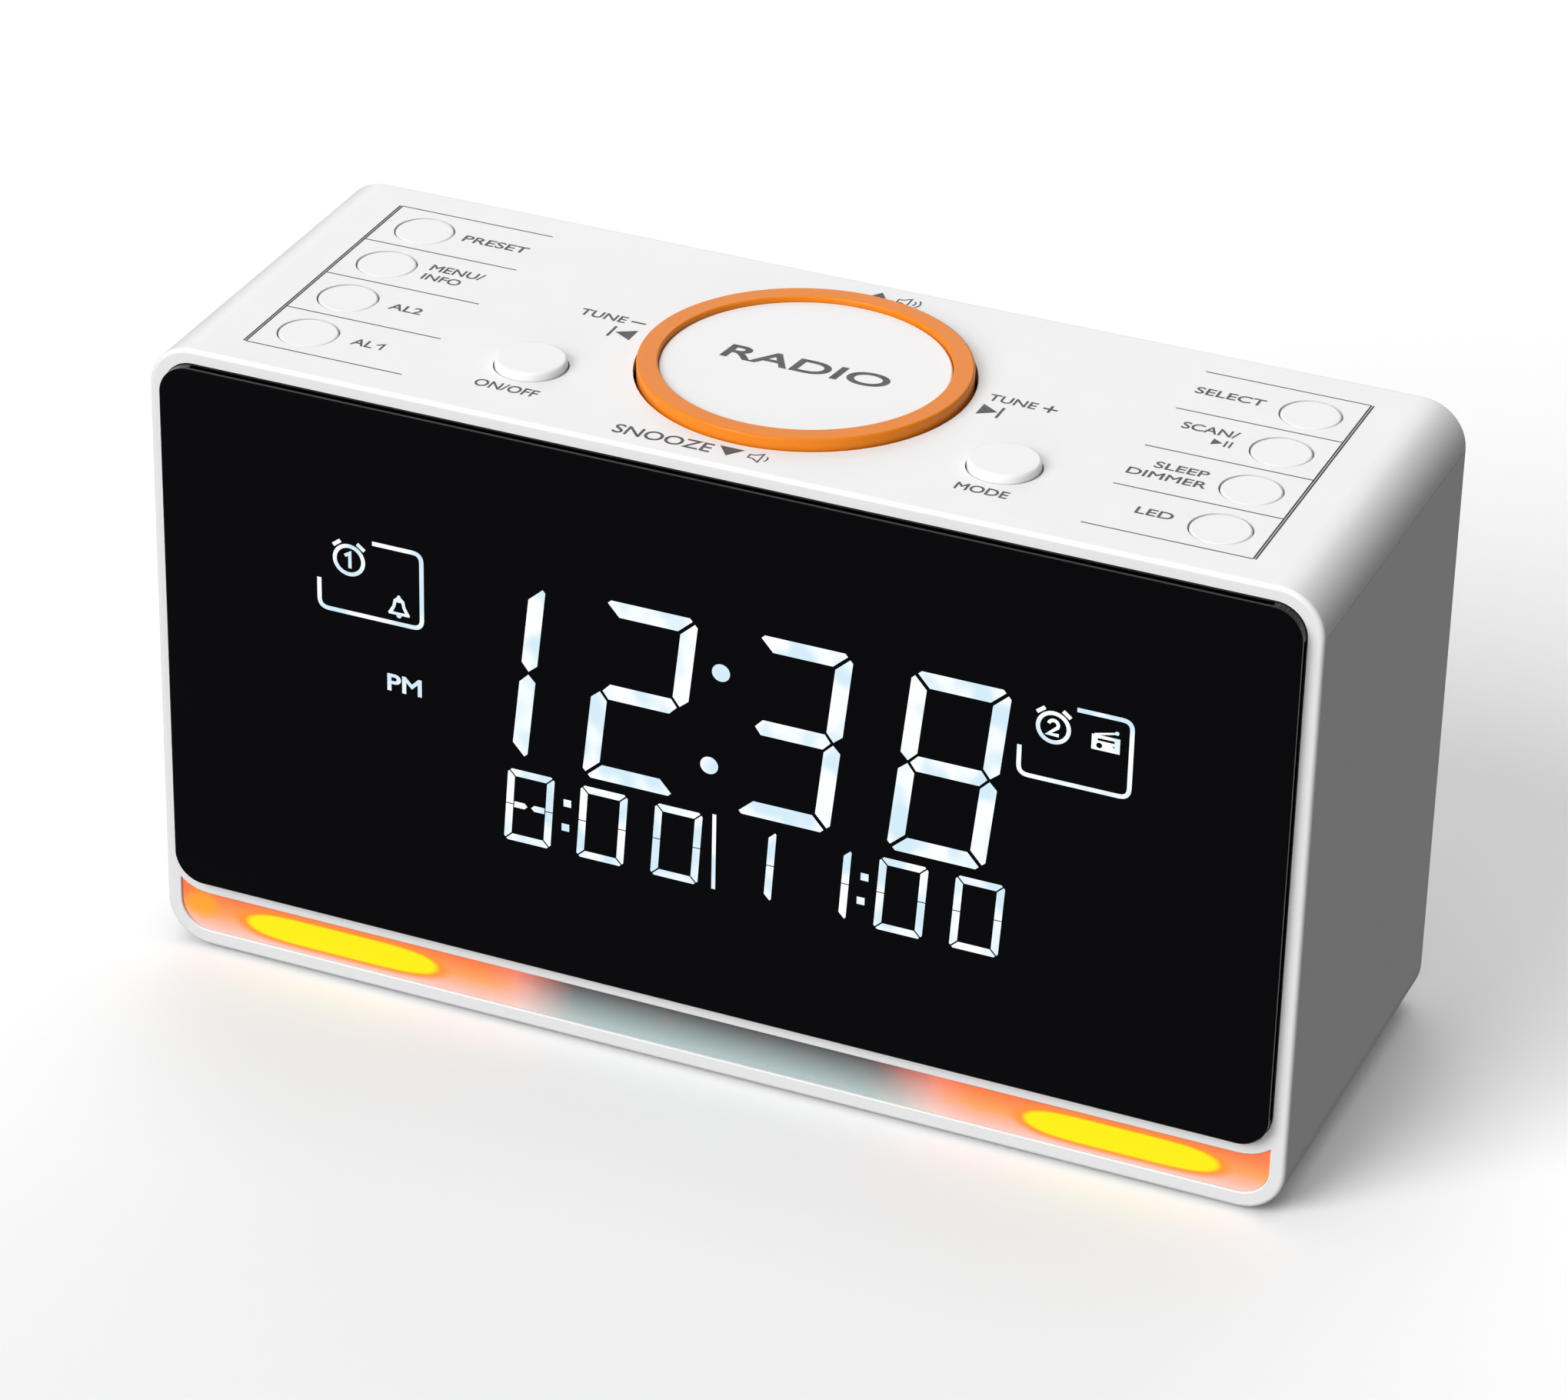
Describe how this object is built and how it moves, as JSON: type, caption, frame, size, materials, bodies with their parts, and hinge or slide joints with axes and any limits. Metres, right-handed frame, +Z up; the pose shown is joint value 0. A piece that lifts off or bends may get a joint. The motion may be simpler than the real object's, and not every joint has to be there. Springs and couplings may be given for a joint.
{
  "type": "clock radio",
  "caption": "Mains clock radio with a mirror-black display front, a coloured light bar, top keys and a tilting round dial for tuning and volume.",
  "frame": {"origin": "on the table under the middle of the radio, at the height of the soles of its feet", "axes": "+Z up, -Y out of the display, +X to the right seen from the front"},
  "size_m": [0.18, 0.0654, 0.1036],
  "materials": {
    "white_shell": "satin",
    "white_keys": "satin",
    "orange_ring": "gloss",
    "mirror_lens": "mirror gloss",
    "black_tray": "gloss",
    "diffuser": "frosted",
    "rubber": "matte",
    "display_module": "matte",
    "board": "satin",
    "led": "gloss",
    "ribbon": "satin",
    "component": "matte",
    "inner_plastic": "satin",
    "steel": "satin",
    "can": "satin",
    "shield": "satin",
    "basket_steel": "satin",
    "magnet": "matte",
    "cone_paper": "matte",
    "copper": "satin",
    "wire": "satin"
  },
  "bodies": {
    "cabinet": {"front_bezel": "white_shell", "top_cover": "white_shell", "main_housing": "white_shell", "rear_cover": "white_shell", "rubber_feet": "rubber", "lens_carrier": "black_tray", "display_lens": "mirror_lens", "light_bar_diffuser": "diffuser", "display_panel": "display_module", "display_board": "board", "light_bar_board": "board", "light_bar_leds": "led", "display_ribbon": "ribbon", "key_board": "board", "key_switches": "component", "dial_switch_plungers": "component", "gimbal_brackets": "inner_plastic", "main_board": "board", "main_chips": "component", "capacitors": "can", "radio_module": "shield", "dc_jack": "component", "usb_port": "shield", "cell_holder": "component", "coin_cell": "steel", "speaker_basket": "basket_steel", "speaker_magnet": "magnet", "speaker_surround": "rubber", "speaker_wires": "wire", "case_screws": "steel", "board_screws": "steel", "speaker_screws": "steel"},
    "preset_key": {"preset_button": "white_keys", "preset_plunger": "component"},
    "menu_key": {"menu_button": "white_keys", "menu_plunger": "component"},
    "alarm_two_key": {"alarm_two_button": "white_keys", "alarm_two_plunger": "component"},
    "alarm_one_key": {"alarm_one_button": "white_keys", "alarm_one_plunger": "component"},
    "select_key": {"select_button": "white_keys", "select_plunger": "component"},
    "scan_key": {"scan_button": "white_keys", "scan_plunger": "component"},
    "sleep_key": {"sleep_button": "white_keys", "sleep_plunger": "component"},
    "led_key": {"led_button": "white_keys", "led_plunger": "component"},
    "power_key": {"power_button": "white_keys", "power_plunger": "component"},
    "mode_key": {"mode_button": "white_keys", "mode_plunger": "component"},
    "dial_tilt_frame": {"dial_gimbal": "inner_plastic", "rocker_pins": "steel"},
    "dial": {"dial_ring": "orange_ring", "dial_disc": "white_keys", "dial_rocker": "inner_plastic"},
    "battery_cover": {"battery_door": "white_shell"},
    "speaker_diaphragm": {"speaker_cone": "cone_paper", "voice_coil": "copper"}
  },
  "joints": [
    {"name": "preset_press", "type": "slide", "parent": "cabinet", "child": "preset_key", "axis": [0, 0, -1], "range_m": [0, 0.0005], "stiffness_N_per_m": 700},
    {"name": "menu_press", "type": "slide", "parent": "cabinet", "child": "menu_key", "axis": [0, 0, -1], "range_m": [0, 0.0005], "stiffness_N_per_m": 700},
    {"name": "alarm_two_press", "type": "slide", "parent": "cabinet", "child": "alarm_two_key", "axis": [0, 0, -1], "range_m": [0, 0.0005], "stiffness_N_per_m": 700},
    {"name": "alarm_one_press", "type": "slide", "parent": "cabinet", "child": "alarm_one_key", "axis": [0, 0, -1], "range_m": [0, 0.0005], "stiffness_N_per_m": 700},
    {"name": "select_press", "type": "slide", "parent": "cabinet", "child": "select_key", "axis": [0, 0, -1], "range_m": [0, 0.0005], "stiffness_N_per_m": 700},
    {"name": "scan_press", "type": "slide", "parent": "cabinet", "child": "scan_key", "axis": [0, 0, -1], "range_m": [0, 0.0005], "stiffness_N_per_m": 700},
    {"name": "sleep_press", "type": "slide", "parent": "cabinet", "child": "sleep_key", "axis": [0, 0, -1], "range_m": [0, 0.0005], "stiffness_N_per_m": 700},
    {"name": "led_press", "type": "slide", "parent": "cabinet", "child": "led_key", "axis": [0, 0, -1], "range_m": [0, 0.0005], "stiffness_N_per_m": 700},
    {"name": "power_press", "type": "slide", "parent": "cabinet", "child": "power_key", "axis": [0, 0, -1], "range_m": [0, 0.0008], "stiffness_N_per_m": 600},
    {"name": "mode_press", "type": "slide", "parent": "cabinet", "child": "mode_key", "axis": [0, 0, -1], "range_m": [0, 0.0008], "stiffness_N_per_m": 600},
    {"name": "dial_volume_tilt", "type": "hinge", "parent": "cabinet", "child": "dial_tilt_frame", "pos_m": [0, 0.00095, 0.0918], "axis": [1, 0, 0], "range_deg": [-1.2, 1.2], "stiffness_Nm_per_rad": 2.5},
    {"name": "dial_tune_tilt", "type": "hinge", "parent": "dial_tilt_frame", "child": "dial", "pos_m": [0, 0.00095, 0.0918], "axis": [0, 1, 0], "range_deg": [-1.2, 1.2], "stiffness_Nm_per_rad": 2.5},
    {"name": "battery_door_lift", "type": "slide", "parent": "cabinet", "child": "battery_cover", "axis": [0, 1, 0], "range_m": [0, 0.012]},
    {"name": "speaker_stroke", "type": "slide", "parent": "cabinet", "child": "speaker_diaphragm", "axis": [0, 1, 0], "range_m": [-0.0008, 0.0008], "stiffness_N_per_m": 900}
  ]
}
